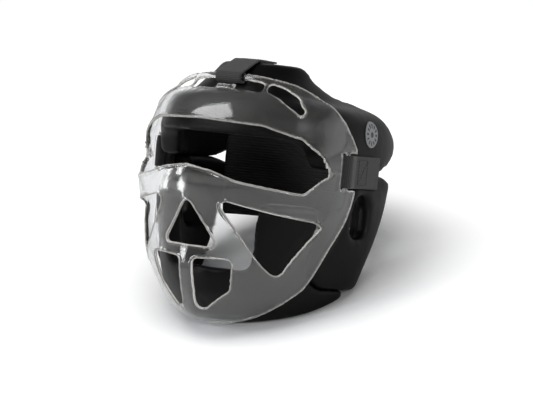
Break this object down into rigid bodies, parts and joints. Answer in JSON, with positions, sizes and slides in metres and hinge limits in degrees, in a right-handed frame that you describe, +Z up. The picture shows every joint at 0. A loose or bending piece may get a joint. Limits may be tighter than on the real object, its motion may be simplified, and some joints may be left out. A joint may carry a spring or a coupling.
{
  "type": "boxing headgear",
  "caption": "Padded sparring head guard with a removable clear face cage held by hook-and-loop straps.",
  "frame": {"origin": "on the flat that the chin and the ear pads rest on, under the middle of the object's box", "axes": "+Z up, -Y ahead of the wearer, +X to the wearer's left; the guard leans back 27 degrees in this rest pose"},
  "size_m": [0.2212, 0.2795, 0.2172],
  "materials": {
    "dipped_foam": "semi-gloss vinyl skin over closed-cell foam",
    "clear_plastic": "clear, polished",
    "webbing": "woven",
    "hook_and_loop": "matt",
    "elastic": "ribbed",
    "badge_rubber": "satin"
  },
  "bodies": {
    "guard": {"crown_shell": "dipped_foam", "wing_left": "dipped_foam", "wing_right": "dipped_foam", "ear_pad_left": "dipped_foam", "ear_pad_right": "dipped_foam", "chin_pad": "dipped_foam", "cheek_pad_left": "dipped_foam", "cheek_pad_right": "dipped_foam", "rear_elastic": "elastic", "badge_left": "badge_rubber", "badge_right": "badge_rubber", "side_loop_patch_left": "hook_and_loop", "side_loop_patch_right": "hook_and_loop", "top_loop_patch": "hook_and_loop"},
    "cage": {"face_cage": "clear_plastic"},
    "crown_strap": {"top_strap": "webbing", "top_hook_patch": "hook_and_loop"},
    "left_strap": {"side_strap_left": "webbing", "side_hook_patch_left": "hook_and_loop"},
    "right_strap": {"side_strap_right": "webbing", "side_hook_patch_right": "hook_and_loop"}
  },
  "joints": [
    {"name": "cage_lift_off", "type": "slide", "parent": "guard", "child": "cage", "axis": [0, -0.891, 0.454], "range_m": [0, 0.12]},
    {"name": "top_strap_peel", "type": "hinge", "parent": "cage", "child": "crown_strap", "pos_m": [0, -0.0155, 0.2116], "axis": [1, 0, 0], "range_deg": [0, 100]},
    {"name": "left_strap_peel", "type": "hinge", "parent": "cage", "child": "left_strap", "pos_m": [0.105, -0.00768, 0.12203], "axis": [0, -0.454, -0.891], "range_deg": [0, 110]},
    {"name": "right_strap_peel", "type": "hinge", "parent": "cage", "child": "right_strap", "pos_m": [-0.105, -0.00768, 0.12203], "axis": [0, 0.454, 0.891], "range_deg": [0, 110]}
  ]
}
